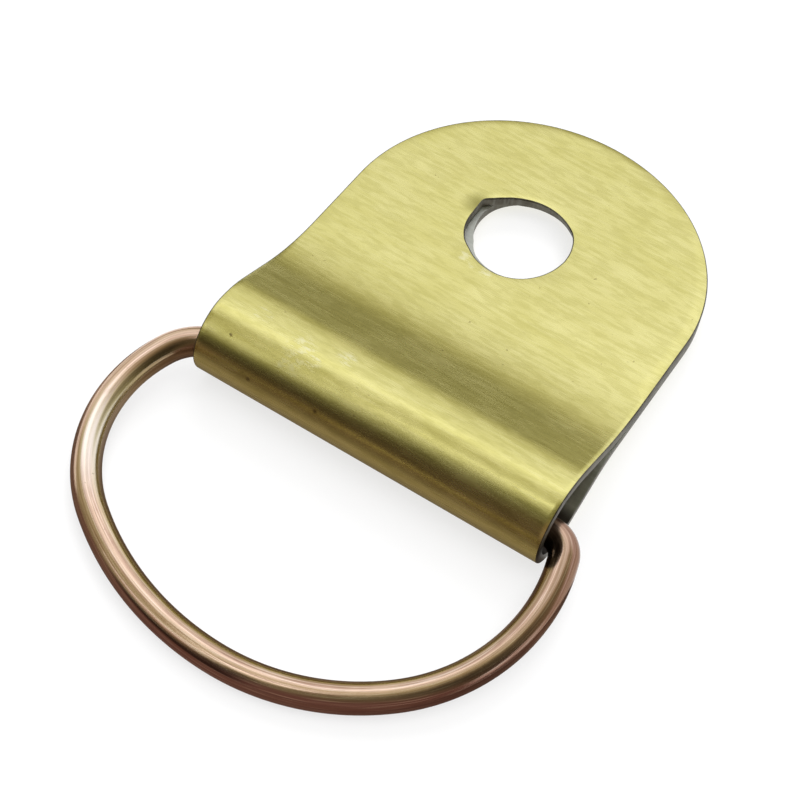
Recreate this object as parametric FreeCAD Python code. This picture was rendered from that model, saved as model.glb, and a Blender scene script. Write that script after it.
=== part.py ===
import FreeCAD, Part
import math
import os

# Single-hole D-ring picture hanger.
# A strip of sheet metal is folded in half round the straight bar of a wire D ring.
# The fold is left open as a round loop, and the two leaves lie flat on each other.
#
# Frame: the origin is the centre of the back leaf's screw hole, in the back face of that
# leaf, which is the face that lies on the picture frame. +Z leaves the front face towards
# the viewer, +Y runs along the strap away from the ring, and X runs along the hinge.
# All lengths are in millimetres and all angles in degrees.

Vector = FreeCAD.Vector

# Strap, a strip of plated sheet folded in half
SHEET = 0.38
STRAP_WIDTH = 15.0
LEAF_GAP = 0.04
LOOP_BORE = 2.80
LOOP_TO_END_CENTRE = 9.71
EDGE_ROLL = 0.08

# Each leaf leaves the loop over a rounded shoulder, runs down a straight flank at an angle to
# the leaf, and flattens out in a hollow bend. The front leaf does so more gently.
FRONT_SHOULDER_RADIUS = 4.20
FRONT_FLANK_ANGLE = 19.7
FRONT_BEND_RADIUS = 10.0
BACK_SHOULDER_RADIUS = 1.78
BACK_FLANK_ANGLE = 24.7
BACK_BEND_RADIUS = 3.30

# Screw holes, one in each leaf. The back one guides the screw and sits off the strap's
# middle. The front one is a little wider and out of line with it, across and along.
BACK_HOLE_DIAMETER = 4.18
FRONT_HOLE_DIAMETER = 4.50
LOOP_TO_HOLE = 11.00
HOLE_OFF_MIDDLE = 0.38
FRONT_HOLE_ACROSS = -0.16
FRONT_HOLE_ALONG = -0.40
RIM_ROLL = 0.12

# D ring, bent from round wire with its two ends meeting inside the loop
WIRE_DIAMETER = 1.16
RING_DEPTH = 10.50
BOW_SHIFT = -0.1
BUTT_GAP = 0.10
LEFT_CORNER_INSET = 0.82
LEFT_CORNER_RADIUS = 2.30
LEFT_CORNER_ANGLE = 65.0
LEFT_SIDE_ANGLE = 143.7
RIGHT_CORNER_INSET = 0.19
RIGHT_CORNER_RADIUS = 1.00
RIGHT_CORNER_ANGLE = 73.0
RIGHT_SIDE_ANGLE = 139.8

# Where the bar lies in the loop: its clearance to the loop's wall, and the side it lies on
SEAT_CLEARANCE = 0.25
SEAT_ANGLE = 45.8

# Sizes that follow from the ones above
STRAP_THICKNESS = 2 * SHEET + LEAF_GAP
MID_PLANE = STRAP_THICKNESS / 2
LOOP_RADIUS = LOOP_BORE / 2 + SHEET
END_RADIUS = STRAP_WIDTH / 2
STRAP_MIDDLE = HOLE_OFF_MIDDLE
LOOP_CENTRE = Vector(STRAP_MIDDLE, -LOOP_TO_HOLE, MID_PLANE)
END_CENTRE_Y = LOOP_TO_END_CENTRE - LOOP_TO_HOLE
STRAP_TIP_Y = END_CENTRE_Y + END_RADIUS

# Reach of a cutting tool past the metal, and the distance that counts as touching
TOOL_MARGIN = 1.0
TOUCHING = 1e-4


def in_loop_plane(y, z):
    """A point of the folded profile, given from the loop's centre."""
    return Vector(0, LOOP_CENTRE.y + y, LOOP_CENTRE.z + z)


def profile_arc(centre_y, centre_z, radius, start, end, side):
    """An arc of the folded profile between two angles, counted from +Y, mirrored for the back."""
    points = []
    for angle in (start, (start + end) / 2, end):
        turn = math.radians(angle)
        height = centre_z + radius * math.sin(turn)
        points.append(in_loop_plane(centre_y + radius * math.cos(turn), side * height))
    return Part.Arc(*points).toShape()


def leaf_path(depth, side, shoulder_radius, flank_angle, bend_radius):
    """A leaf's line at a depth below its outer skin, from the loop to past the leaf's end."""
    flank_turn = math.radians(flank_angle)
    both_radii = shoulder_radius + bend_radius
    flank_drop = LOOP_RADIUS - STRAP_THICKNESS / 2 - both_radii * (1 - math.cos(flank_turn))
    flat_from = both_radii * math.sin(flank_turn) + flank_drop / math.tan(flank_turn)
    far_end = LOOP_TO_END_CENTRE + END_RADIUS + TOOL_MARGIN

    shoulder_at = LOOP_RADIUS - shoulder_radius
    bend_at = STRAP_THICKNESS / 2 + bend_radius
    shoulder = profile_arc(0, shoulder_at, shoulder_radius - depth, 90, 90 - flank_angle, side)
    bend = profile_arc(flat_from, bend_at, bend_radius + depth, 270 - flank_angle, 270, side)
    flank = Part.LineSegment(shoulder.Vertexes[-1].Point, bend.Vertexes[0].Point)
    leaf_end = in_loop_plane(far_end, side * (STRAP_THICKNESS / 2 - depth))
    leaf = Part.LineSegment(bend.Vertexes[-1].Point, leaf_end)
    return [shoulder, flank.toShape(), bend, leaf.toShape()]


def skin_path(depth):
    """The folded line of the sheet at a depth below its outer skin, front leaf to back leaf."""
    front = leaf_path(depth, 1, FRONT_SHOULDER_RADIUS, FRONT_FLANK_ANGLE, FRONT_BEND_RADIUS)
    loop = profile_arc(0, 0, LOOP_RADIUS - depth, 90, 270, 1)
    back = leaf_path(depth, -1, BACK_SHOULDER_RADIUS, BACK_FLANK_ANGLE, BACK_BEND_RADIUS)
    return front[::-1] + [loop] + back


def folded_strip():
    """The strip folded round the ring's bar, before its outline is cut."""
    outer = skin_path(0)
    inner = skin_path(SHEET)
    front_end, back_end = [
        Part.LineSegment(outer[place].Vertexes[-1].Point, inner[place].Vertexes[-1].Point).toShape()
        for place in (0, -1)
    ]
    profile = Part.Wire(outer + [back_end] + inner[::-1] + [front_end])
    half = STRAP_WIDTH / 2 + TOOL_MARGIN
    strip = Part.Face(profile).extrude(Vector(2 * half, 0, 0))
    strip.translate(Vector(STRAP_MIDDLE - half, 0, 0))
    return strip


def strap_outline():
    """The strap's plan, parallel sides with one full round end, as a tall prism."""
    left = STRAP_MIDDLE - STRAP_WIDTH / 2
    right = STRAP_MIDDLE + STRAP_WIDTH / 2
    start = LOOP_CENTRE.y - LOOP_RADIUS - TOOL_MARGIN
    floor = MID_PLANE - LOOP_RADIUS - TOOL_MARGIN
    corners = [
        Vector(left, END_CENTRE_Y, floor),
        Vector(left, start, floor),
        Vector(right, start, floor),
        Vector(right, END_CENTRE_Y, floor),
    ]
    edges = [Part.LineSegment(a, b).toShape() for a, b in zip(corners, corners[1:])]
    tip = Vector(STRAP_MIDDLE, STRAP_TIP_Y, floor)
    edges.append(Part.Arc(corners[3], tip, corners[0]).toShape())
    height = 2 * (LOOP_RADIUS + TOOL_MARGIN)
    return Part.Face(Part.Wire(edges)).extrude(Vector(0, 0, height))


def leaf_hole(diameter, across, along, side):
    """The punch for one leaf: side is 1 for the front leaf and -1 for the back leaf."""
    reach = STRAP_THICKNESS / 2 + TOOL_MARGIN
    return Part.makeCylinder(diameter / 2, reach, Vector(across, along, MID_PLANE), Vector(0, 0, side))


def on_outer_skin(point):
    """Whether a point lies on the outer skin of the folded strip."""
    skin = Part.Wire(skin_path(0))
    flat = Vector(0, point.y, point.z)
    return skin.distToShape(Part.Vertex(flat))[0] < TOUCHING


def rim_edges(shape, is_rim):
    """Edges on the outer skin whose middle point passes the test."""
    chosen = []
    for edge in shape.Edges:
        middle = edge.valueAt((edge.FirstParameter + edge.LastParameter) / 2)
        ends = [vertex.Point for vertex in edge.Vertexes]
        if is_rim(middle) and all(on_outer_skin(point) for point in ends + [middle]):
            chosen.append(edge)
    return chosen


def on_outline(point):
    """Whether a point lies on the strap's cut outline."""
    if point.y < END_CENTRE_Y:
        return abs(abs(point.x - STRAP_MIDDLE) - STRAP_WIDTH / 2) < TOUCHING
    return abs(math.hypot(point.x - STRAP_MIDDLE, point.y - END_CENTRE_Y) - END_RADIUS) < TOUCHING


def on_punched_rim(point):
    """Whether a point lies on the front hole's outer rim, where the punch went in."""
    from_hole = math.hypot(point.x - FRONT_HOLE_ACROSS, point.y - FRONT_HOLE_ALONG)
    return point.z > MID_PLANE and abs(from_hole - FRONT_HOLE_DIAMETER / 2) < TOUCHING


def make_strap():
    """The folded strap with its loop, bends, outline and screw holes."""
    strap = folded_strip().common(strap_outline())
    strap = strap.cut(leaf_hole(FRONT_HOLE_DIAMETER, FRONT_HOLE_ACROSS, FRONT_HOLE_ALONG, 1))
    strap = strap.cut(leaf_hole(BACK_HOLE_DIAMETER, 0, 0, -1))
    strap = strap.makeFillet(RIM_ROLL, rim_edges(strap, on_punched_rim))
    strap = strap.makeFillet(EDGE_ROLL, rim_edges(strap, on_outline))
    return strap.Solids[0]


def table_plane():
    """Tilt of the table under the leaves, from the back of the loop to the strap's tip."""
    loop_to_tip = STRAP_TIP_Y - LOOP_CENTRE.y
    reach = math.hypot(loop_to_tip, MID_PLANE)
    return math.degrees(math.asin(LOOP_RADIUS / reach) - math.atan2(MID_PLANE, loop_to_tip))


def bar_centre():
    """Centre of the ring's bar, lying in the loop's lower front quarter."""
    play = LOOP_BORE / 2 - WIRE_DIAMETER / 2 - SEAT_CLEARANCE
    turn = math.radians(SEAT_ANGLE)
    return LOOP_CENTRE + Vector(0, -play * math.sin(turn), -play * math.cos(turn))


def ring_droop():
    """How far the bow hangs below the leaves when it lies on the same table."""
    tilt = math.radians(table_plane())
    from_loop = bar_centre() - LOOP_CENTRE
    height = LOOP_RADIUS + from_loop.z * math.cos(tilt) - from_loop.y * math.sin(tilt)
    return math.degrees(tilt + math.asin((height - WIRE_DIAMETER / 2) / RING_DEPTH))


def ring_arc(centre, radius, start, end, side):
    """An arc of the wire's centre line in the ring's plane, mirrored for the left side."""
    points = []
    for angle in (start, (start + end) / 2, end):
        turn = math.radians(angle)
        across = centre.x + radius * math.sin(turn)
        points.append(Vector(side * across, -(centre.y - radius * math.cos(turn)), 0))
    return Part.Arc(*points).toShape()


def half_ring(side, inset, corner_radius, corner_angle, side_angle):
    """Half of the wire's centre line, from the butt joint in the bar to the bow's middle.

    The wire turns through the corner and the side to the two given angles. The radii of the
    side and of the bow are the pair that brings it to the bow's middle at the ring's depth.
    """
    bar_end = STRAP_WIDTH / 2 - inset
    bow_middle = side * BOW_SHIFT
    corner_turn = math.radians(corner_angle)
    side_turn = math.radians(side_angle)
    corner_x = bar_end + corner_radius * math.sin(corner_turn)
    corner_y = corner_radius * (1 - math.cos(corner_turn))
    side_across = math.sin(corner_turn) - math.sin(side_turn)
    side_along = math.cos(corner_turn) - math.cos(side_turn)
    bow_across = math.sin(side_turn)
    bow_along = 1 + math.cos(side_turn)
    across = corner_x - bow_middle
    along = RING_DEPTH - corner_y
    share = side_across * bow_along - bow_across * side_along
    side_radius = (across * bow_along - along * bow_across) / share
    bow_radius = (side_across * along - side_along * across) / share

    inwards = corner_radius - side_radius
    corner = Vector(bar_end, corner_radius, 0)
    flank = corner + Vector(inwards * math.sin(corner_turn), -inwards * math.cos(corner_turn), 0)
    bow = Vector(bow_middle, RING_DEPTH - bow_radius, 0)
    bar = Part.LineSegment(Vector(side * BUTT_GAP / 2, 0, 0), Vector(side * bar_end, 0, 0)).toShape()
    return [
        bar,
        ring_arc(corner, corner_radius, 0, corner_angle, side),
        ring_arc(flank, side_radius, corner_angle, side_angle, side),
        ring_arc(bow, bow_radius, side_angle, 180, side),
    ]


def make_ring():
    """The D ring of round wire, hanging in the loop with its bow on the table."""
    right = half_ring(1, RIGHT_CORNER_INSET, RIGHT_CORNER_RADIUS, RIGHT_CORNER_ANGLE, RIGHT_SIDE_ANGLE)
    left = half_ring(-1, LEFT_CORNER_INSET, LEFT_CORNER_RADIUS, LEFT_CORNER_ANGLE, LEFT_SIDE_ANGLE)
    path = Part.Wire(right + left[::-1])
    start = Vector(BUTT_GAP / 2, 0, 0)
    section = Part.Wire(Part.makeCircle(WIRE_DIAMETER / 2, start, Vector(1, 0, 0)))
    ring = path.makePipeShell([section], True, True)
    ring.rotate(Vector(0, 0, 0), Vector(1, 0, 0), ring_droop())
    ring.translate(bar_centre())
    return ring


def main():
    """Write each piece to its own file."""
    os.makedirs("parts", exist_ok=True)
    pieces = {"folded_strap": make_strap(), "d_ring": make_ring()}
    for name, shape in pieces.items():
        box = shape.BoundBox
        print(name, shape.ShapeType, len(shape.Solids), shape.isValid(), round(shape.Volume, 3))
        print("  x", round(box.XMin, 3), round(box.XMax, 3), "y", round(box.YMin, 3), round(box.YMax, 3))
        print("  z", round(box.ZMin, 3), round(box.ZMax, 3))
        shape.exportStep("parts/" + name + ".step")
    print("table tilt", round(table_plane(), 3), "ring droop", round(ring_droop(), 3))
    print("bar centre", [round(value, 4) for value in bar_centre()])


main()
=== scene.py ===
# %% [markdown]
# # A D-ring picture hanger
# A small hanger for the back of a picture frame: a strip of brass-plated sheet steel is
# folded round the straight bar of a copper-coloured wire ring, and one screw goes through
# both leaves of the fold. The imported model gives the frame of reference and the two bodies,
# and this lesson dresses it: it builds the two pieces in fine meshes, gives them their metal
# finishes, and sets up a small studio round them.

# %% Load the frame
import bmesh
import bpy
import math
from mathutils import Matrix, Vector


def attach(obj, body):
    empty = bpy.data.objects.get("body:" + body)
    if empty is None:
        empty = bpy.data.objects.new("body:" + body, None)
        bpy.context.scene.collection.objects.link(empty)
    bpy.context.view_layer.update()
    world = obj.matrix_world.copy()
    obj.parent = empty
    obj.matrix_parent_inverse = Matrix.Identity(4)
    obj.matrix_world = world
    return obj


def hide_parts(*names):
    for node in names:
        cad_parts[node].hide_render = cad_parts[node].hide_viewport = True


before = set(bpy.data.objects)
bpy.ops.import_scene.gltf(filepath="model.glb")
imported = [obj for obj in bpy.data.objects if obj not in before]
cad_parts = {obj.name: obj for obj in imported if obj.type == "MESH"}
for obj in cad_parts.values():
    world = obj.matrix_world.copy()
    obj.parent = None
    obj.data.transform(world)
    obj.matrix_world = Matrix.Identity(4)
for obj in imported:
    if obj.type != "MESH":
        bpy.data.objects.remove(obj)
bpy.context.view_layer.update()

# %% [markdown]
# ## Sizes
# Blender works in metres, and the drawing of a small metal part is in millimetres. Writing
# `0.38 * MM` keeps the drawing's own numbers in sight. These are the sizes of the sheet, the
# fold, the two holes and the wire, with the origin at the middle of the back leaf's hole.

# %% Sizes of the strap and the ring
MM = 0.001
SHEET = 0.38 * MM
STRAP_WIDTH = 15.0 * MM
STRAP_THICKNESS = 0.80 * MM
MID_PLANE = STRAP_THICKNESS / 2
STRAP_MIDDLE = 0.38 * MM
LOOP_Y = -11.00 * MM
LOOP_RADIUS = 1.78 * MM
END_RADIUS = STRAP_WIDTH / 2
END_Y = LOOP_Y + 9.71 * MM
TIP_Y = END_Y + END_RADIUS
EDGE_ROLL = 0.05 * MM
RIM_ROLL = 0.06 * MM
BACK_HOLE = {"radius": 2.09 * MM, "x": 0.0, "y": 0.0}
FRONT_HOLE = {"radius": 2.25 * MM, "x": -0.16 * MM, "y": -0.40 * MM}
WIRE_RADIUS = 0.58 * MM
BAR_CENTRE = Vector((0.38, -11.4086, 0.0026)) * MM
RING_DROOP = math.radians(9.174)


def leaf_fold(shoulder_radius, flank_angle, bend_radius):
    """How one leaf leaves the loop: shoulder, straight flank, hollow bend, and where it is flat."""
    angle = math.radians(flank_angle)
    shoulder, bend = shoulder_radius * MM, bend_radius * MM
    drop = LOOP_RADIUS - STRAP_THICKNESS / 2 - (shoulder + bend) * (1 - math.cos(angle))
    return {
        "shoulder": shoulder,
        "angle": angle,
        "bend": bend,
        "flank": drop / math.sin(angle),
        "flat_from": LOOP_Y + (shoulder + bend) * math.sin(angle) + drop / math.tan(angle),
    }


FRONT_FOLD = leaf_fold(shoulder_radius=4.20, flank_angle=19.7, bend_radius=10.0)
BACK_FOLD = leaf_fold(shoulder_radius=1.78, flank_angle=24.7, bend_radius=3.30)
for name, fold in (("front", FRONT_FOLD), ("back", BACK_FOLD)):
    print(name, "leaf is flat from y =", round(fold["flat_from"] / MM, 2), "mm")

# %% [markdown]
# ## The camera
# The photograph looks down on the hanger from the front right, and the camera is turned a
# little, so that the ring leans to the lower left. Three numbers place a camera on a ball
# round its target: how far round, how far up, and how far away. The turn about its own line
# of sight comes from mixing its right and up directions. The numbers were found by fitting
# the outlines of the leaf, the hole, the loop and the ring.

# %% The camera
CAMERA_LENS = 86.49
CAMERA_TARGET = Vector((0.398, -10.172, 0.80)) * MM
CAMERA_DISTANCE = 70.93 * MM
CAMERA_ROUND = 25.63
CAMERA_UP = 52.51
CAMERA_TURN = 8.59


def look_at(target, azimuth, elevation, distance, roll):
    """A camera's matrix from its place on a ball round the target, in degrees."""
    round_z, up, turn = (math.radians(angle) for angle in (azimuth, elevation, roll))
    back = Vector((math.sin(round_z) * math.cos(up), -math.cos(round_z) * math.cos(up), math.sin(up)))
    level = Vector((math.cos(round_z), math.sin(round_z), 0))
    above = back.cross(level)
    right = level * math.cos(turn) + above * math.sin(turn)
    top = above * math.cos(turn) - level * math.sin(turn)
    matrix = Matrix((right, top, back)).transposed().to_4x4()
    matrix.translation = target + back * distance
    return matrix


camera_data = bpy.data.cameras.new("camera")
camera_data.sensor_width = 36
camera_data.lens = CAMERA_LENS
camera_data.clip_start = 1 * MM
camera_data.clip_end = 5
camera = bpy.data.objects.new("camera", camera_data)
bpy.context.scene.collection.objects.link(camera)
camera.matrix_world = look_at(CAMERA_TARGET, CAMERA_ROUND, CAMERA_UP, CAMERA_DISTANCE, CAMERA_TURN)
bpy.context.scene.camera = camera
print("camera at", [round(value / MM, 1) for value in camera.location], "mm")

# %% [markdown]
# ## One flat leaf with its hole
# A leaf is a plate with parallel sides, one round end and a hole. It could be cut with a
# boolean, but that leaves long thin faces. Here the hole is a circle of edges, the outline is
# another closed line with as many points, and `bridge_loops` fills the band between them with
# even quads. The punch tore the rims a little, most of all at the upper left of the front
# hole, so their points are pushed in or out by two short tables of angles and amounts.

# %% The outline and the hole of a leaf
ARC_STEPS = 80
SIDE_STEPS = 24
END_STEPS = 64
OUTLINE_STEPS = ARC_STEPS + 2 * SIDE_STEPS + END_STEPS
SPOKE_CUTS = 9

# How far each rim leaves its circle, as degrees from +X and millimetres outwards.
FRONT_RIM = [
    (0, -0.15), (19, -0.14), (31, -0.12), (40, -0.12), (52, -0.17), (65, -0.21), (75, -0.23),
    (88, -0.26), (100, -0.28), (112, -0.29), (124, -0.27), (137, -0.23), (149, -0.13), (157, 0.00),
    (160, 0.02), (164, -0.03), (171, -0.10), (181, -0.14), (191, -0.12), (210, -0.07), (222, -0.05),
    (235, -0.08), (250, -0.02), (278, 0.04), (291, 0.02), (303, -0.01), (317, -0.07), (332, -0.12),
    (349, -0.15), (360, -0.14),
]
BACK_RIM = [
    (0, 0.09), (30, 0.18), (60, 0.20), (90, 0.16), (108, 0.09), (126, 0.04), (142, 0.03),
    (157, 0.03), (175, 0.01), (200, 0.02), (221, 0.07), (231, 0.18), (240, 0.25), (255, 0.27),
    (270, 0.25), (300, 0.12), (330, 0.05), (360, 0.05),
]


def rim_push(rim, arm):
    """How far a table pushes a point of a rim outwards, by the direction of its arm."""
    angle = math.degrees(math.atan2(arm.y, arm.x)) % 360
    for (low, first), (high, second) in zip(rim, rim[1:]):
        if low <= angle <= high:
            share = (angle - low) / (high - low)
            return arm.normalized() * (first + (second - first) * share) * MM
    return Vector()


def leaf_outline(bm, height, flat_from):
    """The closed edge of a leaf: round end, two sides, and the line where the fold begins."""
    first = bm.verts.new((STRAP_MIDDLE + END_RADIUS, END_Y, height))
    bmesh.ops.spin(
        bm, geom=[first], cent=(STRAP_MIDDLE, END_Y, height), axis=(0, 0, 1), angle=math.pi, steps=ARC_STEPS
    )
    start = max(bm.verts, key=lambda v: v.co.x)
    finish = min(bm.verts, key=lambda v: v.co.x)
    right = bm.verts.new((STRAP_MIDDLE + END_RADIUS, flat_from, height))
    left = bm.verts.new((STRAP_MIDDLE - END_RADIUS, flat_from, height))
    for first, second in ((start, right), (finish, left), (left, right)):
        bm.edges.new((first, second))
    for steps in (END_STEPS, SIDE_STEPS, SIDE_STEPS):
        longest = max(bm.edges, key=lambda edge: edge.calc_length())
        bmesh.ops.subdivide_edges(bm, edges=[longest], cuts=steps - 1)


def make_leaf(hole, height, flat_from, rim):
    """A flat leaf as its own bmesh, with rings of quads from the hole out to the outline."""
    bm = bmesh.new()
    leaf_outline(bm, height, flat_from)
    outline = list(bm.edges)
    centre = Matrix.Translation((hole["x"], hole["y"], height))
    circle = bmesh.ops.create_circle(bm, segments=OUTLINE_STEPS, radius=hole["radius"], matrix=centre)
    rim_edges = list({edge for v in circle["verts"] for edge in v.link_edges})
    for v in circle["verts"]:
        v.co += rim_push(rim, v.co - centre.translation)
    bridge = bmesh.ops.bridge_loops(bm, edges=outline + rim_edges)
    spokes = [edge for edge in bridge["edges"] if edge not in rim_edges and edge not in outline]
    bmesh.ops.subdivide_edges(bm, edges=spokes, cuts=SPOKE_CUTS, use_grid_fill=True)
    return bm


front_leaf = make_leaf(FRONT_HOLE, STRAP_THICKNESS, FRONT_FOLD["flat_from"], FRONT_RIM)
print("one leaf has", len(front_leaf.faces), "faces")

# %% [markdown]
# ## Folding the sheet
# The fold is a row of edges that travels: it turns up out of the leaf in a hollow bend, runs
# straight up the flank, rolls over the shoulder and round the loop, and comes back to the back
# leaf by a tighter shoulder, flank and bend. `spin` turns a row about an axis and leaves faces
# behind it, and `extrude_edge_only` with a move makes the straight runs. One open skin
# results, and the back leaf is welded to its far end.

# %% Ways to move a row of edges
def sorted_out(geometry):
    """The edges and the points of an operator's result, as two lists."""
    edges = [item for item in geometry if isinstance(item, bmesh.types.BMEdge)]
    points = [item for item in geometry if isinstance(item, bmesh.types.BMVert)]
    return edges, points


def spin_row(bm, row, centre_y, centre_z, angle, steps):
    """Turn a row of edges about a line along X, leaving faces behind it."""
    turned = bmesh.ops.spin(
        bm, geom=row, cent=(0, centre_y, centre_z), axis=(1, 0, 0), angle=angle, steps=steps
    )
    edges, points = sorted_out(turned["geom_last"])
    return edges + points


def run_row(bm, row, step, cuts):
    """Push a row of edges straight on by a vector, in a few equal strips."""
    for number in range(cuts):
        edges, _ = sorted_out(row)
        edges, points = sorted_out(bmesh.ops.extrude_edge_only(bm, edges=edges)["geom"])
        bmesh.ops.translate(bm, verts=points, vec=step / cuts)
        row = edges + points
    return row


# %% Spin the fold and weld the back leaf on
# Steps of each leaf's bend, flank and shoulder, and of the loop's half turn.
FRONT_STEPS = (16, 4, 14)
BACK_STEPS = (12, 5, 12)
LOOP_STEPS = 76
SAME_LINE = 0.0001 * MM
WELD_DISTANCE = 0.002 * MM


def make_skin():
    """The outer skin of the whole folded strap, front leaf, loop and back leaf."""
    bm = front_leaf.copy()
    front, back = FRONT_FOLD, BACK_FOLD
    start = front["flat_from"]
    row = [
        edge for edge in bm.edges
        if edge.is_boundary and all(abs(v.co.y - start) < SAME_LINE for v in edge.verts)
    ]
    row += list({v for edge in row for v in edge.verts})

    bend, flank, shoulder = FRONT_STEPS
    rise = Vector((0, -math.cos(front["angle"]), math.sin(front["angle"]))) * front["flank"]
    row = spin_row(bm, row, start, STRAP_THICKNESS + front["bend"], -front["angle"], bend)
    row = run_row(bm, row, rise, flank)
    shoulder_at = MID_PLANE + LOOP_RADIUS - front["shoulder"]
    row = spin_row(bm, row, LOOP_Y, shoulder_at, front["angle"], shoulder)

    row = spin_row(bm, row, LOOP_Y, MID_PLANE, math.pi, LOOP_STEPS)

    bend, flank, shoulder = BACK_STEPS
    climb = Vector((0, math.cos(back["angle"]), math.sin(back["angle"]))) * back["flank"]
    shoulder_at = MID_PLANE - LOOP_RADIUS + back["shoulder"]
    row = spin_row(bm, row, LOOP_Y, shoulder_at, back["angle"], shoulder)
    row = run_row(bm, row, climb, flank)
    spin_row(bm, row, back["flat_from"], -back["bend"], -back["angle"], bend)

    back_leaf = make_leaf(BACK_HOLE, 0.0, back["flat_from"], BACK_RIM)
    mesh = bpy.data.meshes.new("back_leaf")
    back_leaf.to_mesh(mesh)
    bm.from_mesh(mesh)
    back_leaf.free()
    bpy.data.meshes.remove(mesh)
    bmesh.ops.remove_doubles(bm, verts=bm.verts, dist=WELD_DISTANCE)
    bmesh.ops.recalc_face_normals(bm, faces=bm.faces)
    top = max(bm.faces, key=lambda face: face.calc_center_median().z)
    if top.normal.z < 0:
        bmesh.ops.reverse_faces(bm, faces=bm.faces)
    return bm


strap_bm = make_skin()
front_leaf.free()
open_edges = sum(edge.is_boundary for edge in strap_bm.edges)
print("the skin has", len(strap_bm.faces), "faces and", open_edges, "open edges")

# %% [markdown]
# ## Thickness
# The sheet is one thickness everywhere, round the bends too. `solidify` gives that: it copies
# the skin inwards and closes the cut edges. First the skin's open edges are marked as outline,
# front hole or back hole, so that each can be found again afterwards.

# %% Give the sheet its thickness
OUTLINE_EDGE, FRONT_HOLE_EDGE, BACK_HOLE_EDGE = 1, 2, 3
HOLE_REACH = 3.2 * MM

skin_faces = set(strap_bm.faces)
edge_kind = strap_bm.edges.layers.int.new("edge_kind")
for edge in strap_bm.edges:
    if not edge.is_boundary:
        continue
    middle = (edge.verts[0].co + edge.verts[1].co) / 2
    from_hole = math.hypot(middle.x - FRONT_HOLE["x"], middle.y - FRONT_HOLE["y"])
    if from_hole > HOLE_REACH:
        edge[edge_kind] = OUTLINE_EDGE
    else:
        edge[edge_kind] = BACK_HOLE_EDGE if middle.z < MID_PLANE else FRONT_HOLE_EDGE
thick = bmesh.ops.solidify(strap_bm, geom=strap_bm.faces[:], thickness=SHEET)
inner_faces = {item for item in thick["geom"] if isinstance(item, bmesh.types.BMFace)}
print("solidify made", len(strap_bm.faces), "faces")

# %% [markdown]
# ## The punch's break-out
# A punch goes in cleanly and breaks out wider, so a punched hole is larger on its far side. A
# tapered cutter could make that, but this break-out is uneven: it is wide on the right and
# towards the round end, and there is none elsewhere. So the rim's points on the bare side of
# the front leaf are pushed outwards by a short table, as the torn rims were.

# %% Widen the front hole on the bare side
BREAK_OUT = [(0, 0.07), (25, 0.13), (65, 0.13), (90, 0.06), (115, 0.0), (330, 0.0), (360, 0.07)]
RIM_SEARCH = FRONT_HOLE["radius"] + 0.1 * MM
BARE_SIDE = STRAP_THICKNESS - SHEET

broken_out = 0
for v in strap_bm.verts:
    arm = Vector((v.co.x - FRONT_HOLE["x"], v.co.y - FRONT_HOLE["y"], 0))
    if abs(v.co.z - BARE_SIDE) < 0.01 * MM and arm.length < RIM_SEARCH:
        v.co += rim_push(BREAK_OUT, arm)
        broken_out += 1
print("the break-out has", broken_out, "points")

# %% [markdown]
# ## Three surfaces and soft edges
# A face's material index says which of the piece's materials it shows. The skin is plated.
# The copied faces are the bare inside of the sheet, and the closing faces are where the shear
# and the punch went through. The tool rounds the edge that it enters, and `bevel` gives that
# roll to the outline, and a wider one to the front hole. The rolls take the dark finish of the
# cut, which is painted shade there: it keeps them from catching the light.

# %% Mark the surfaces and roll the edges
PLATED, BARE, CUT_AND_SHADED = 0, 1, 2
SHARP_FROM = math.radians(40)

for face in strap_bm.faces:
    face.material_index = PLATED if face in skin_faces else BARE if face in inner_faces else CUT_AND_SHADED
    face.smooth = True


def edges_to_roll(kind):
    """Edges of one kind where the plated skin meets a cut edge."""
    found = []
    for edge in strap_bm.edges:
        sides = sorted(face.material_index for face in edge.link_faces)
        if edge[edge_kind] == kind and sides == [PLATED, CUT_AND_SHADED]:
            found.append(edge)
    return found


for kind, roll, segments in ((OUTLINE_EDGE, EDGE_ROLL, 2), (FRONT_HOLE_EDGE, RIM_ROLL, 3)):
    rolled = bmesh.ops.bevel(
        strap_bm, geom=edges_to_roll(kind), offset=roll, segments=segments,
        profile=0.5, affect="EDGES", material=-1,
    )
    for face in rolled["faces"]:
        # painted shade: the rolls take the dark finish of the cut, so that they don't shine
        face.material_index = CUT_AND_SHADED
        face.smooth = True
for edge in strap_bm.edges:
    edge.smooth = edge.calc_face_angle(0) < SHARP_FROM
print("the sheet encloses", round(strap_bm.calc_volume() / MM**3, 1), "cubic millimetres")

# %% [markdown]
# ## Turning a bmesh into a piece
# Everything goes the same way into the scene: a mesh from the bmesh, its materials, and an
# object at the origin. A piece of the hanger also says which body it rides on and which solid
# it stands for. Weighted normals keep the large flat leaves flat in the light, while the
# narrow rolls beside them stay soft.

# %% Helpers that fill the scene
def add_object(name, bm, finishes):
    """Put a bmesh in the scene as an object at the origin, with its materials."""
    mesh = bpy.data.meshes.new(name)
    bm.to_mesh(mesh)
    bm.free()
    for finish in finishes:
        mesh.materials.append(finish.material)
    thing = bpy.data.objects.new(name, mesh)
    bpy.context.scene.collection.objects.link(thing)
    return thing


def make_piece(name, bm, body, node, finishes):
    """Put a bmesh in the scene as the piece that stands for one solid of the frame."""
    piece = add_object(name, bm, finishes)
    weigh = piece.modifiers.new("flat leaves", "WEIGHTED_NORMAL")
    weigh.keep_sharp = True
    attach(piece, body)
    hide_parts(node)
    print(name, "has", len(piece.data.polygons), "faces")


# %% [markdown]
# ## Bending the ring from wire
# The ring is a round wire, so one circle of edges does all the work. It starts at the butt
# joint in the bar, runs straight to the corner, and is then spun about the middle of each bend
# in turn, all the way round to the other side of the joint. A hand-bent ring isn't quite even:
# the right corner is tight and the left one is open. While the circle travels, each point
# keeps the length run so far and its own place round the wire, for the finish to use later.

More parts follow.
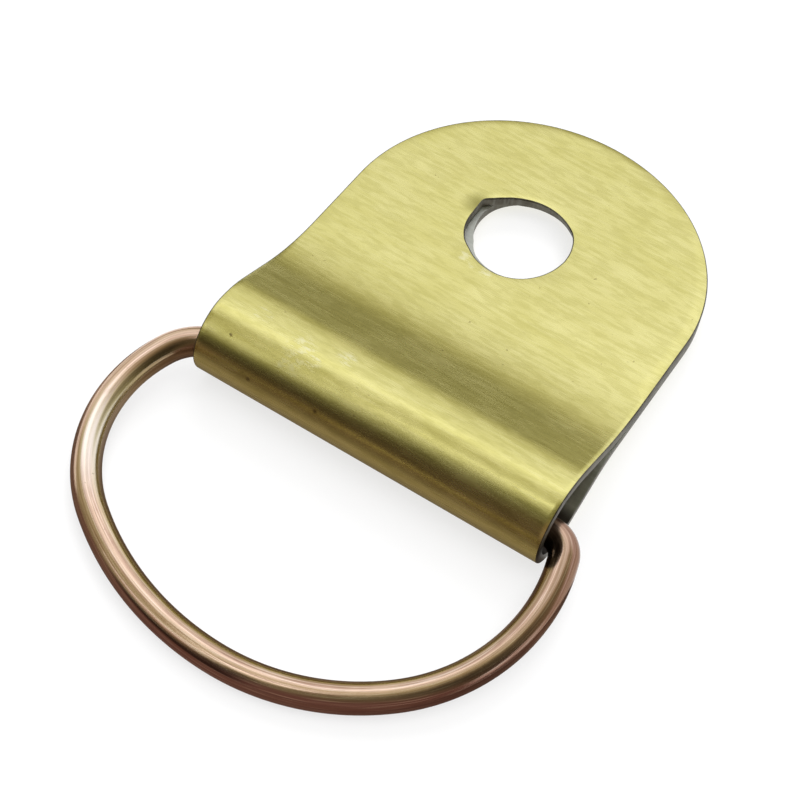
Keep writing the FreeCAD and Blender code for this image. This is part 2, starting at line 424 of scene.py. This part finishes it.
# %% Spin a circle of edges along the bends
BUTT_GAP = 0.10 * MM
RIGHT_BAR_END = 7.31 * MM
LEFT_BAR_END = -6.68 * MM
WIRE_SIDES = 48
BAR_STEPS = 12
BEND_STEP = 2.0
ARC_STEP = 0.28
JOINT_ROLL = 0.05 * MM

# Each bend as the middle of its arc across and along, its radius, and its turn in degrees. The
# section takes a step at least every 2 degrees and every 0.28 mm.
BENDS = [
    (7.31, -1.00, 1.00, 73.0),
    (1.4364, -2.7958, 7.142, 66.8),
    (-0.10, -0.9777, 9.5223, 40.2),
    (-0.10, 1.1491, 11.6491, 36.3),
    (-3.666, -3.7054, 5.6256, 78.7),
    (-6.68, -2.30, 2.30, 65.0),
]


def along_wire(points, layer, run, middle, outwards):
    """Note for each point of a section how far along the wire it is and where round it."""
    for v in points:
        arm = v.co - middle
        v[layer] = Vector((run / MM, arm.dot(outwards) / WIRE_RADIUS, arm.z / WIRE_RADIUS))


def make_wire():
    """The ring in its own plane, with the bar along X and the bow towards -Y."""
    bm = bmesh.new()
    layer = bm.verts.layers.float_vector.new("wire_map")
    middle = Vector((BUTT_GAP / 2, 0, 0))
    section = Matrix.Translation(middle) @ Matrix.Rotation(math.pi / 2, 4, "Y")
    bmesh.ops.create_circle(bm, cap_ends=True, segments=WIRE_SIDES, radius=WIRE_RADIUS, matrix=section)
    outwards = Vector((0, 1, 0))
    run = 0.0
    along_wire(bm.verts, layer, run, middle, outwards)
    row = list(bm.edges)

    def run_bar(row, middle, run, length):
        """Push the section along the bar in equal steps, all of them to the right."""
        step = Vector((length / BAR_STEPS, 0, 0))
        for number in range(BAR_STEPS):
            row, points = sorted_out(bmesh.ops.extrude_edge_only(bm, edges=row)["geom"])
            bmesh.ops.translate(bm, verts=points, vec=step)
            middle = middle + step
            run += step.x
            along_wire(points, layer, run, middle, outwards)
        return row, middle, run

    row, middle, run = run_bar(row, middle, run, RIGHT_BAR_END - BUTT_GAP / 2)
    for across, along, radius, turn in BENDS:
        centre = Vector((across, along, 0)) * MM
        steps = max(round(turn / BEND_STEP), round(math.radians(turn) * radius / ARC_STEP))
        small = Matrix.Rotation(-math.radians(turn) / steps, 3, "Z")
        for number in range(steps):
            row, points = sorted_out(bmesh.ops.extrude_edge_only(bm, edges=row)["geom"])
            bmesh.ops.rotate(bm, verts=points, cent=centre, matrix=small)
            middle = centre + small @ (middle - centre)
            outwards = small @ outwards
            run += math.radians(turn) / steps * radius * MM
            along_wire(points, layer, run, middle, outwards)
    row, middle, run = run_bar(row, middle, run, -BUTT_GAP / 2 - LEFT_BAR_END)
    bmesh.ops.edgeloop_fill(bm, edges=row)
    bmesh.ops.recalc_face_normals(bm, faces=bm.faces)
    ends = [edge for edge in bm.edges if edge.calc_face_angle(0) > 1]
    bmesh.ops.bevel(
        bm, geom=ends, offset=JOINT_ROLL, segments=2, profile=0.5, affect="EDGES", material=-1
    )
    for face in bm.faces:
        face.smooth = True
    bmesh.ops.rotate(bm, verts=bm.verts, cent=(0, 0, 0), matrix=Matrix.Rotation(RING_DROOP, 3, "X"))
    bmesh.ops.translate(bm, verts=bm.verts, vec=BAR_CENTRE)
    print("the wire is", round(run / MM, 1), "mm long")
    return bm


ring_bm = make_wire()

# %% [markdown]
# ## Writing shader maths as sums
# A finish is a small network of nodes, and most of it is arithmetic on masks. Wrapping a
# socket in a class that knows `+`, `-`, `*` and a few named steps lets the maths read as
# plain expressions, while each one adds its own Math node. Every other node comes from one
# method, which sets the node's settings before its sockets.

# %% The signal class
class Signal:
    """One output socket that can be added, multiplied and compared."""

    def __init__(self, finish, socket):
        self.finish = finish
        self.socket = socket

    def maths(self, operation, *values):
        """A Math node on some values, in their order."""
        return self.finish.node("ShaderNodeMath", {"operation": operation}, dict(enumerate(values)))[0]

    def __add__(self, other):
        return self.maths("ADD", self, other)

    def __sub__(self, other):
        return self.maths("SUBTRACT", self, other)

    def __rsub__(self, other):
        return self.maths("SUBTRACT", other, self)

    def __mul__(self, other):
        return self.maths("MULTIPLY", self, other)

    __radd__ = __add__
    __rmul__ = __mul__

    def between(self, low, high):
        """0 below low, 1 above high, and a soft step from one to the other."""
        span = {"Value": self, "From Min": low, "From Max": high}
        return self.finish.node("ShaderNodeMapRange", {"interpolation_type": "SMOOTHSTEP"}, span)[0]


# %% [markdown]
# ## A finish and its nodes
# A finish holds a material and its shader. What is the same all over the surface is set on
# the shader's own socket, and what varies is linked to it. The noise reads the point on the
# piece in metres, so its scale is in cells per metre: 8000 makes marks about 0.12 mm wide,
# and a smaller number along X draws them out into lines.

# %% The finish class
class Finish:
    """A finish: a material, its shader, and the means to add nodes to it."""

    def __init__(self, name, **constants):
        self.material = bpy.data.materials.new(name)
        self.material.use_nodes = True
        self.tree = self.material.node_tree
        self.shader = self.tree.nodes["Principled BSDF"]
        for socket, value in constants.items():
            self.shader.inputs[socket.replace("_", " ")].default_value = value

    def node(self, kind, settings, sockets):
        """Add a node, set it up, fill its sockets, and return its outputs as signals."""
        made = self.tree.nodes.new(kind)
        for setting, value in settings.items():
            setattr(made, setting, value)
        for socket, value in sockets.items():
            if isinstance(value, Signal):
                self.tree.links.new(value.socket, made.inputs[socket])
            else:
                made.inputs[socket].default_value = value
        return [Signal(self, output) for output in made.outputs if output.enabled]

    def place(self):
        """The point on the piece, in metres."""
        return self.node("ShaderNodeTexCoord", {}, {})[3]

    def stretched(self, point, scale, turn=(0, 0, 0)):
        """The point turned and scaled, so that a pattern can run longer one way."""
        return self.node("ShaderNodeMapping", {}, {"Vector": point, "Rotation": turn, "Scale": scale})[0]

    def noise(self, point, scale, detail=2.0, roughness=0.5):
        """Smooth noise from 0 to 1."""
        sockets = {"Vector": point, "Scale": scale, "Detail": detail, "Roughness": roughness}
        return self.node("ShaderNodeTexNoise", {}, sockets)[0]

    def spot(self, point, centre, size):
        """A soft spot that is 1 at a place given in millimetres and fades out over a size."""
        middle = tuple(value * MM for value in centre)
        arm = self.node("ShaderNodeVectorMath", {"operation": "DISTANCE"}, {0: point, 1: middle})[0]
        return 1 - arm.between(0.0, size * MM)

    def blend(self, factor, first, second):
        """A colour part of the way from the first to the second."""
        settings = {"data_type": "RGBA"}
        sockets = {0: factor, 6: first, 7: second}
        return self.node("ShaderNodeMix", settings, sockets)[0]

    def give(self, **sockets):
        """Link signals to the shader's sockets."""
        for socket, signal in sockets.items():
            self.tree.links.new(signal.socket, self.shader.inputs[socket.replace("_", " ")])

    def show(self, surface):
        """Make a shader what the surface shows, in place of the finish's own."""
        output = self.tree.nodes["Material Output"]
        self.tree.links.new(surface.socket, output.inputs["Surface"])

    def raised(self, height, distance):
        """A bump from a height signal, as a normal."""
        sockets = {"Strength": 1.0, "Distance": distance, "Height": height}
        return self.node("ShaderNodeBump", {}, sockets)[0]

    def ramp(self, signal, low, high, first, second):
        """A straight ramp between two values as a signal passes from low to high."""
        sockets = {"Value": signal, "From Min": low, "From Max": high, "To Min": first, "To Max": second}
        return self.node("ShaderNodeMapRange", {}, sockets)[0]

    def level_from(self, signal, table):
        """A signal read from a table of places and levels, with straight lines between them."""
        level = 0.0
        for (low, first), (high, second) in zip(table, table[1:]):
            level = level + self.ramp(signal, low, high, 0.0, second - first)
        return level + table[0][1]

    def seen(self):
        """1 for what is seen, straight or in gloss or through glass, and 0 for what only lights."""
        way = self.node("ShaderNodeLightPath", {}, {})
        camera, glossy, transmission = way[0], way[3], way[6]
        return camera + glossy + transmission


def tone(red, green, blue):
    """A colour with its alpha."""
    return (red, green, blue, 1.0)


# %% [markdown]
# ## Satin brass plating
# The strap is bright plating on rolled sheet. The rolling left fine lines across the strap,
# along the hinge, with paler and darker blotches in the same direction, and handling left
# pits and small scuffs on the loop, painted paler in part as glints. Noise that is stretched
# along X gives the lines on the flat leaf and round the loop alike, because the loop's curve
# never turns along X. The single marks are soft spots at fixed places, and the burr beside the
# front hole has painted shade in its colour as well as its bump.

# %% Patterns of the brass
brass = Finish("satin brass plating", Metallic=1.0)
point = brass.place()
lines = brass.noise(brass.stretched(point, (600, 8000, 8000)), 1.0, 3.0, 0.6)
streaks = brass.noise(brass.stretched(point, (160, 1300, 1300), (0, 0, 0.05)), 1.0, 3.0, 0.6)
clouds = brass.noise(point, 420.0, 3.0, 0.6)
grains = brass.noise(point, 5200.0, 2.0, 0.5)
pits = (1 - brass.noise(point, 4200.0, 1.0, 0.5).between(0.20, 0.25)) * clouds.between(0.48, 0.62)
waves = brass.noise(brass.stretched(point, (130, 420, 420)), 1.0, 2.0, 0.5)
dashes = brass.noise(brass.stretched(point, (1100, 4600, 4600), (0, 0, 0.10)), 1.0, 2.0, 0.6)

# %% Scuffs with painted glints, nicks, and the burr with painted shade, by their places and sizes in millimetres
scuff_places = [
    ((-3.4, -11.25, 2.17), 0.85), ((-2.8, -11.5, 2.1), 0.7), ((-3.4, -12.1, 1.8), 0.6),
    ((-5.4, -10.8, 2.2), 0.6), ((-1.35, -2.66, 0.8), 0.40), ((-0.85, -2.85, 0.8), 0.35),
    ((-0.25, -2.92, 0.8), 0.40), ((-1.7, -10.7, 2.2), 0.6),
]
scuffs_and_glints = sum((brass.spot(point, place, size) for place, size in scuff_places), 0.0)
creases = brass.noise(brass.stretched(point, (1800, 5200, 5200), (0, 0, -0.35)), 1.0, 3.0, 0.7)
scuffs_and_glints = scuffs_and_glints.between(0.0, 0.7) * creases.between(0.44, 0.68)
nick_places = [((-1.74, -12.64, 1.09), 0.16), ((-4.65, -12.73, 0.84), 0.14), ((-5.91, -12.06, 1.83), 0.10)]
nicks = sum((brass.spot(point, place, size) for place, size in nick_places), 0.0)
burr_and_shade = brass.spot(point, (-2.26, 0.06, 0.8), 0.95)
print("the brass has", len(scuff_places), "scuffs,", len(nick_places), "nicks and one burr")

# %% The brass finish
plate = brass.blend(clouds.between(0.35, 0.65), tone(0.73, 0.67, 0.245), tone(0.79, 0.725, 0.30))
plate = brass.blend(streaks.between(0.30, 0.70) * 0.50, plate, tone(0.62, 0.56, 0.18))
plate = brass.blend(lines.between(0.35, 0.75) * 0.35, plate, tone(0.84, 0.78, 0.36))
plate = brass.blend(dashes.between(0.42, 0.62) * 0.34, plate, tone(0.52, 0.47, 0.14))
# painted highlight: the scuffs are real wear, painted paler in part as glints
plate = brass.blend(scuffs_and_glints * 0.6, plate, tone(0.92, 0.88, 0.58))
# painted shade: the colour round the burr is darkened
plate = brass.blend(burr_and_shade * 0.9, plate, tone(0.28, 0.25, 0.07))
plate = brass.blend(pits * 0.5 + nicks, plate, tone(0.28, 0.22, 0.08))
height = lines * 0.4 + grains * 0.25 + streaks * 1.1 + dashes * 0.5 + waves * 5 + burr_and_shade * 0.6
height = height - pits + scuffs_and_glints * 0.8 - nicks * 3
brass.give(
    Base_Color=plate,
    Roughness=0.19 + 0.10 * lines + 0.05 * clouds + 0.06 * scuffs_and_glints,
    Normal=brass.raised(height, 0.0022 * MM),
)
print("brass finish has", len(brass.tree.nodes), "nodes")

# %% [markdown]
# ## Bare steel
# Only the outside of the sheet is plated. The inside of the fold is dull grey steel, rolled
# like the outside, and painted near black inside the loop as shade. The
# cut edges are darker too, with fine marks in the direction in which the tool went through.

# %% The bare inside
steel = Finish("bare sheet steel", Metallic=1.0)
point = steel.place()
rolled = steel.noise(steel.stretched(point, (500, 5200, 5200)), 1.0, 3.0, 0.6)
dull = steel.noise(point, 900.0, 3.0, 0.6)
grey = steel.blend(dull.between(0.3, 0.7), tone(0.50, 0.51, 0.46), tone(0.66, 0.67, 0.61))
grey = steel.blend(rolled.between(0.45, 0.75) * 0.4, grey, tone(0.74, 0.75, 0.70))
_, along, up = steel.node("ShaderNodeSeparateXYZ", {}, {0: point})
from_axis = steel.node("ShaderNodeCombineXYZ", {}, {1: along - LOOP_Y, 2: up - MID_PLANE})[0]
from_axis = steel.node("ShaderNodeVectorMath", {"operation": "LENGTH"}, {0: from_axis})[0]
# painted shade: the inside of the loop is darkened in the steel's colour
loop_shade = 1 - from_axis.between(1.42 * MM, 1.66 * MM)  # the loop's inner wall is at 1.40 mm
grey = steel.blend(loop_shade * 0.92, grey, tone(0.075, 0.06, 0.055))
steel.give(
    Base_Color=grey,
    Roughness=0.45 + 0.2 * dull,
    Normal=steel.raised(rolled + 0.4 * dull, 0.005 * MM),
)

# %% The sheared edges, and the rolls in painted shade
sheared_and_shaded = Finish("sheared steel edge", Metallic=1.0)
point = sheared_and_shaded.place()
drags = sheared_and_shaded.noise(sheared_and_shaded.stretched(point, (5200, 5200, 700)), 1.0, 3.0, 0.6)
dull = sheared_and_shaded.noise(point, 1100.0, 3.0, 0.6)
# dark steel on the cut faces; on the rolls the same dark finish is painted shade
dark = sheared_and_shaded.blend(dull.between(0.3, 0.7), tone(0.075, 0.065, 0.05), tone(0.16, 0.15, 0.12))
dark = sheared_and_shaded.blend(drags.between(0.45, 0.75) * 0.4, dark, tone(0.26, 0.26, 0.23))
sheared_and_shaded.give(
    Base_Color=dark,
    Roughness=0.40 + 0.2 * dull,
    Normal=sheared_and_shaded.raised(drags + 0.4 * dull, 0.006 * MM),
)
print("steel finishes have", len(steel.tree.nodes), "and", len(sheared_and_shaded.tree.nodes), "nodes")

# %% [markdown]
# ## Copper-washed wire
# Drawn wire has lines along its length, whichever way it is bent, so its pattern follows the
# points' own notes of how far along and how far round they are. The copper wash is thin and
# bright, and worn to a brassy streak on the inside of the bend. Shade is painted into its
# colour as a purple brown on the outer side of the bow and as a browner tone where it comes
# out of the loop, and a near-white highlight is painted on the inner side at the left.

# %% Patterns of the wire
copper = Finish("tarnished copper wash", Metallic=1.0)
wire = copper.node("ShaderNodeAttribute", {"attribute_name": "wire_map"}, {})[1]
point = copper.place()
_, outside, above = copper.node("ShaderNodeSeparateXYZ", {}, {0: wire})
across, _, _ = copper.node("ShaderNodeSeparateXYZ", {}, {0: point})
draw_lines = copper.noise(copper.stretched(wire, (0.35, 11, 11)), 1.0, 3.0, 0.6)
bands = copper.noise(copper.stretched(wire, (0.10, 2.6, 2.6)), 1.0, 2.0, 0.5)
stain = copper.noise(point, 700.0, 3.0, 0.6)
specks = (1 - copper.noise(point, 4200.0, 2.0, 0.6).between(0.24, 0.29)) * stain.between(0.40, 0.6)
nick = copper.spot(point, (-8.9, -15.7, 0.1), 0.30)

# %% Where shade and a highlight are painted into the wash
brassy = 1 - outside.between(-0.80, -0.25)
# painted shade: the outer side of the bow is darkened to purple brown
outer_shade = outside.between(0.25, 0.70) * across.between(-7.5 * MM, -2.0 * MM)
# painted shade where the wire comes out of each end of the loop; at the right it is lighter where the wire
# faces up
right_corner_shade = copper.spot(point, (8.9, -13.0, -0.3), 7.5) * (1 - above.between(0.60, 0.95) * 0.50)
left_corner_shade = copper.spot(point, (-7.6, -12.4, -0.4), 3.5) * (1 - outside.between(-0.40, 0.30))
corner_shade = right_corner_shade * 0.95 + left_corner_shade * 0.85
# painted highlight: a near-white spot on the inner side at the left
left_highlight = copper.spot(point, (-8.3, -17.4, 0.0), 3.4) * (1 - outside.between(0.05, 0.50))
dark_lines = 1 - draw_lines.between(0.34, 0.46)
pale_lines = draw_lines.between(0.50, 0.66) * (1 - corner_shade * 0.75)

# %% The copper finish
rose = copper.blend(stain.between(0.3, 0.7), tone(0.50, 0.32, 0.23), tone(0.66, 0.46, 0.33))
rose = copper.blend(bands.between(0.40, 0.62) * 0.7, rose, tone(0.82, 0.60, 0.43))
rose = copper.blend(brassy * 0.85, rose, tone(0.56, 0.48, 0.24))
# painted shade on the outer side of the bow
rose = copper.blend(outer_shade * 0.85, rose, tone(0.38, 0.20, 0.165))
# painted shade at the ends of the loop
rose = copper.blend(corner_shade, rose, tone(0.22, 0.115, 0.065))
rose = copper.blend(dark_lines * 0.55, rose, tone(0.36, 0.22, 0.15))
rose = copper.blend(pale_lines * 0.50, rose, tone(0.95, 0.79, 0.65))
# painted highlight on the left
rose = copper.blend(left_highlight * 0.70, rose, tone(0.95, 0.88, 0.78))
rose = copper.blend(specks * 0.6 + nick * 0.5, rose, tone(0.12, 0.05, 0.035))
copper.give(
    Base_Color=rose,
    Roughness=0.11 + 0.09 * stain + 0.08 * draw_lines,
    Normal=copper.raised(draw_lines * 0.6 - specks - nick * 3 + stain * 0.4, 0.004 * MM),
)
print("copper finish has", len(copper.tree.nodes), "nodes")

# %% [markdown]
# ## The two pieces
# The strap has three materials, in the order of its faces' indices, and the ring has one.

# %% Put the two pieces in the scene
make_piece("strap_plate", strap_bm, "strap", "folded_strap", [brass, steel, sheared_and_shaded])
make_piece("wire_ring", ring_bm, "ring", "d_ring", [copper])

# %% [markdown]
# ## The table
# The hanger lies on a white table on its tip, on the back of its loop and on the ring's bow.
# The leaves are the level of the frame, so the table slopes a little under them. It is white
# paper, which keeps the soft shadow and looks as pale as the photograph's ground, because it
# glows a little for the eye alone. Seen from below it would hide the hanger, so its back is
# clear.

# %% A sloping sheet
TABLE_TILT = math.radians(4.604)
TABLE_RADIUS = 0.6
SLOPE = Matrix.Rotation(TABLE_TILT, 3, "X")

table_bm = bmesh.new()
bmesh.ops.create_circle(table_bm, cap_ends=True, segments=96, radius=TABLE_RADIUS)
bmesh.ops.rotate(table_bm, verts=table_bm.verts, cent=(0, 0, 0), matrix=SLOPE)
bmesh.ops.translate(table_bm, verts=table_bm.verts, vec=(0, TIP_Y, 0))
print("the table slopes", round(math.degrees(TABLE_TILT), 1), "degrees")

# %% White paper
PAPER_GLOW = 0.72

paper = Finish("white paper", Roughness=0.9, Specular_IOR_Level=0.0)
fibres = paper.noise(paper.place(), 900.0, 3.0, 0.6)
paper.give(Base_Color=paper.blend(fibres, tone(0.93, 0.93, 0.93), tone(0.95, 0.95, 0.95)))
lit = Signal(paper, paper.shader.outputs[0])
pale = paper.node("ShaderNodeEmission", {}, {"Color": tone(1.0, 1.0, 1.0), "Strength": 1.0})[0]
front = paper.node("ShaderNodeMixShader", {}, {0: paper.seen() * PAPER_GLOW, 1: lit, 2: pale})[0]
clear = paper.node("ShaderNodeBsdfTransparent", {}, {})[0]
is_back = paper.node("ShaderNodeNewGeometry", {}, {})[6]
sheet = paper.node("ShaderNodeMixShader", {}, {0: is_back, 1: front, 2: clear})[0]
paper.show(sheet)
table = add_object("table", table_bm, [paper])
print("the paper has", len(paper.tree.nodes), "nodes")

# %% [markdown]
# ## A light tent
# Polished metal shows its surroundings more than its own colour, so the look of this hanger
# is mostly the look of the studio. A tunnel of cloth over the hinge line does it. The middle
# of the tunnel is what the strap shows: bright behind and above, a grey stripe overhead, a
# second bright stripe, and black cloth low in front. Only reflections see the tent, so it
# gives no light and no shadow.

# %% A tunnel of ribs
TENT_RADIUS = 0.30
TENT_REACH = 0.80
TENT_ARC = math.radians(190)
TENT_RIBS = 95

tent_bm = bmesh.new()
rib_start = tent_bm.verts.new((-TENT_REACH, TENT_RADIUS, 0))
rib_end = tent_bm.verts.new((TENT_REACH, TENT_RADIUS, 0))
rib = tent_bm.edges.new((rib_start, rib_end))
bmesh.ops.spin(
    tent_bm, geom=[rib_start, rib_end, rib], cent=(0, 0, 0), axis=(1, 0, 0), angle=TENT_ARC, steps=TENT_RIBS
)
print("the tent has", len(tent_bm.faces), "strips of cloth")

# %% The angle of each place over the hinge: 0 is behind, 90 overhead, 180 in front
cloth = Finish("tent cloth")
across, along, up = cloth.node("ShaderNodeSeparateXYZ", {}, {0: cloth.place()})
turned = cloth.node("ShaderNodeMath", {"operation": "ARCTAN2"}, {0: up, 1: along})[0]
angle = turned * (180 / math.pi)
angle = angle + cloth.ramp(angle, -1, 0, 360, 0)

# %% The middle of the tent, which the strap shows
TENT_LEVELS = [
    (0, 0.12), (14, 0.18), (22, 0.34), (30, 0.72), (37, 1.00), (50, 0.96), (56, 1.04), (59, 1.48),
    (66, 1.48), (69, 1.22), (73, 1.08), (78, 0.72), (88, 0.66), (98, 0.92), (105, 1.06), (107, 2.6),
    (110, 2.6), (112, 1.06), (117, 0.98), (122, 0.48), (130, 0.11), (142, 0.05), (180, 0.05),
]
# Towards the left the stripes lean forwards, and those overhead are dimmer.
to_the_left = cloth.ramp(across, -120 * MM, -53 * MM, 1, 0)
slant = cloth.ramp(angle, 50, 75, 0, 18) + cloth.ramp(angle, 75, 143, 0, 15)
straight = angle - to_the_left * slant
fade = cloth.ramp(straight, 76, 84, 0, 1) - cloth.ramp(straight, 116, 128, 0, 1)
level = cloth.level_from(straight, TENT_LEVELS) * (1 - 0.42 * to_the_left * fade)

# %% [markdown]
# ## The ends of the tent
# The ring bulges further than the strap, so it also shows the ends of the tunnel, which the
# strap never does. The right end is bright from behind to overhead and then dark, and darker
# still far out, where the ring's right corner looks. The far left end is even and dim, for
# the ring's left side and for the views from behind.

# %% The two ends
RIGHT_LEVELS = [
    (0, 0.70), (8, 0.85), (42, 1.20), (63, 1.35), (76, 1.10), (83, 0.75), (97, 0.40), (110, 0.30),
    (117, 0.20), (140, 0.22), (180, 0.28),
]
LEFT_LEVELS = [(0, 0.50), (40, 0.90), (70, 0.80), (95, 0.50), (140, 0.34), (180, 0.30)]

to_the_right = cloth.ramp(across, -36 * MM, -8 * MM, 0, 1)
far_right = cloth.ramp(across, 30 * MM, 160 * MM, 0, 0.75) * cloth.ramp(angle, 35, 58, 0, 1)
far_right = far_right * cloth.ramp(angle, 110, 140, 1, 0)
right_level = cloth.level_from(angle, RIGHT_LEVELS) * (1 - far_right)
level = level * (1 - to_the_right) + right_level * to_the_right
far_left = cloth.ramp(across, -320 * MM, -240 * MM, 1, 0)
level = level * (1 - far_left) + cloth.level_from(angle, LEFT_LEVELS) * far_left

# %% Hang the cloth
warm = cloth.blend(level.between(0.40, 1.10), tone(1.0, 0.95, 0.60), tone(1.0, 1.02, 1.08))
dusk = cloth.blend(straight.between(128, 160), warm, tone(1.0, 0.68, 0.56))
cloth.show(cloth.node("ShaderNodeEmission", {}, {"Strength": level, "Color": dusk})[0])
tent = add_object("light_tent", tent_bm, [cloth])
print("the cloth has", len(cloth.tree.nodes), "nodes")

# %% [markdown]
# ## A brown card
# Under its black band the loop shows something low in front that is brown, lightest close to
# the hanger. The table is white, so a card lies on it there, a hair above the paper. As with
# the tent, only reflections see it.

# %% A card on the table in front of the loop
CARD_SIZE = 1.0
CARD_START = -11.6 * MM
CARD_LIFT = 0.01 * MM

card_bm = bmesh.new()
bmesh.ops.create_grid(card_bm, x_segments=1, y_segments=1, size=CARD_SIZE / 2)
bmesh.ops.translate(card_bm, verts=card_bm.verts, vec=(0, -CARD_SIZE / 2, 0))
bmesh.ops.rotate(card_bm, verts=card_bm.verts, cent=(0, 0, 0), matrix=SLOPE)
card_height = (CARD_START - TIP_Y) * math.sin(TABLE_TILT) + CARD_LIFT
bmesh.ops.translate(card_bm, verts=card_bm.verts, vec=(0, CARD_START, card_height))
print("the card begins", round(-CARD_START / MM, 1), "mm in front of the hole")

# %% The card's brightness by its distance from the hole, in millimetres
CARD_LEVELS = [
    (11.6, 0.20), (12.5, 0.19), (12.8, 0.22), (13.2, 0.27), (13.9, 0.31), (14.6, 0.29), (15.5, 0.21),
    (17.1, 0.15), (20.5, 0.16), (23.5, 0.24), (29.0, 0.26), (35.0, 0.13), (44.0, 0.09), (500.0, 0.06),
]

felt = Finish("brown card")
_, along, _ = felt.node("ShaderNodeSeparateXYZ", {}, {0: felt.place()})
distance = along * (-1 / MM)
level = felt.level_from(distance, CARD_LEVELS)
brown = felt.blend(distance.between(14.0, 20.0), tone(1.0, 0.79, 0.64), tone(1.0, 0.68, 0.55))
felt.show(felt.node("ShaderNodeEmission", {}, {"Strength": level, "Color": brown})[0])
card = add_object("brown_card", card_bm, [felt])

# %% Leave the tent and the card to reflections
for screen in (tent, card):
    screen.visible_camera = False
    screen.visible_diffuse = False
    screen.visible_shadow = False
    screen.visible_transmission = False
print("the tent and the card show only in the metal")

# %% [markdown]
# ## Two soft lamps
# The table needs a little light for the hanger's soft shadow. A large square lamp gives a
# soft one, and two of them from different sides leave none darker than the other. The metal
# doesn't show the lamps, because its reflections belong to the tent.

# %% The lamps
LAMP_WATTS = 1.6
LAMP_TARGET = Vector((0, -8 * MM, 0))


def soft_lamp(name, place, size):
    """A square lamp that points at the hanger and lights the table."""
    data = bpy.data.lights.new(name, "AREA")
    data.size = size
    data.energy = LAMP_WATTS
    lamp = bpy.data.objects.new(name, data)
    bpy.context.scene.collection.objects.link(lamp)
    lamp.location = Vector(place)
    lamp.rotation_euler = (LAMP_TARGET - lamp.location).to_track_quat("-Z", "Y").to_euler()
    lamp.visible_glossy = False
    print(name, "is", round((LAMP_TARGET - lamp.location).length, 2), "m away")


soft_lamp("lamp behind", (-0.15, 0.28, 0.40), 0.30)
soft_lamp("lamp above", (0.10, -0.05, 0.50), 0.40)

# %% [markdown]
# ## A white room
# The ground of the photograph is plain white. The world is white at a strength of 1 where it
# is seen, also in metal, and half as strong where it only lights, so that the white needs no
# extra light on the hanger.

# %% The room
ROOM_LIGHT = 0.5


class Room(Finish):
    """The world's nodes, with the same means to add more."""

    def __init__(self, name):
        self.world = bpy.data.worlds.new(name)
        self.world.use_nodes = True
        self.tree = self.world.node_tree
        self.shader = self.tree.nodes["Background"]
        self.shader.inputs["Color"].default_value = tone(1.0, 1.0, 1.0)


room = Room("white room")
room.give(Strength=ROOM_LIGHT + (1 - ROOM_LIGHT) * room.seen())
bpy.context.scene.world = room.world
bpy.context.scene.view_settings.view_transform = "Standard"
print("the room is white to look at and lights at a strength of", ROOM_LIGHT)
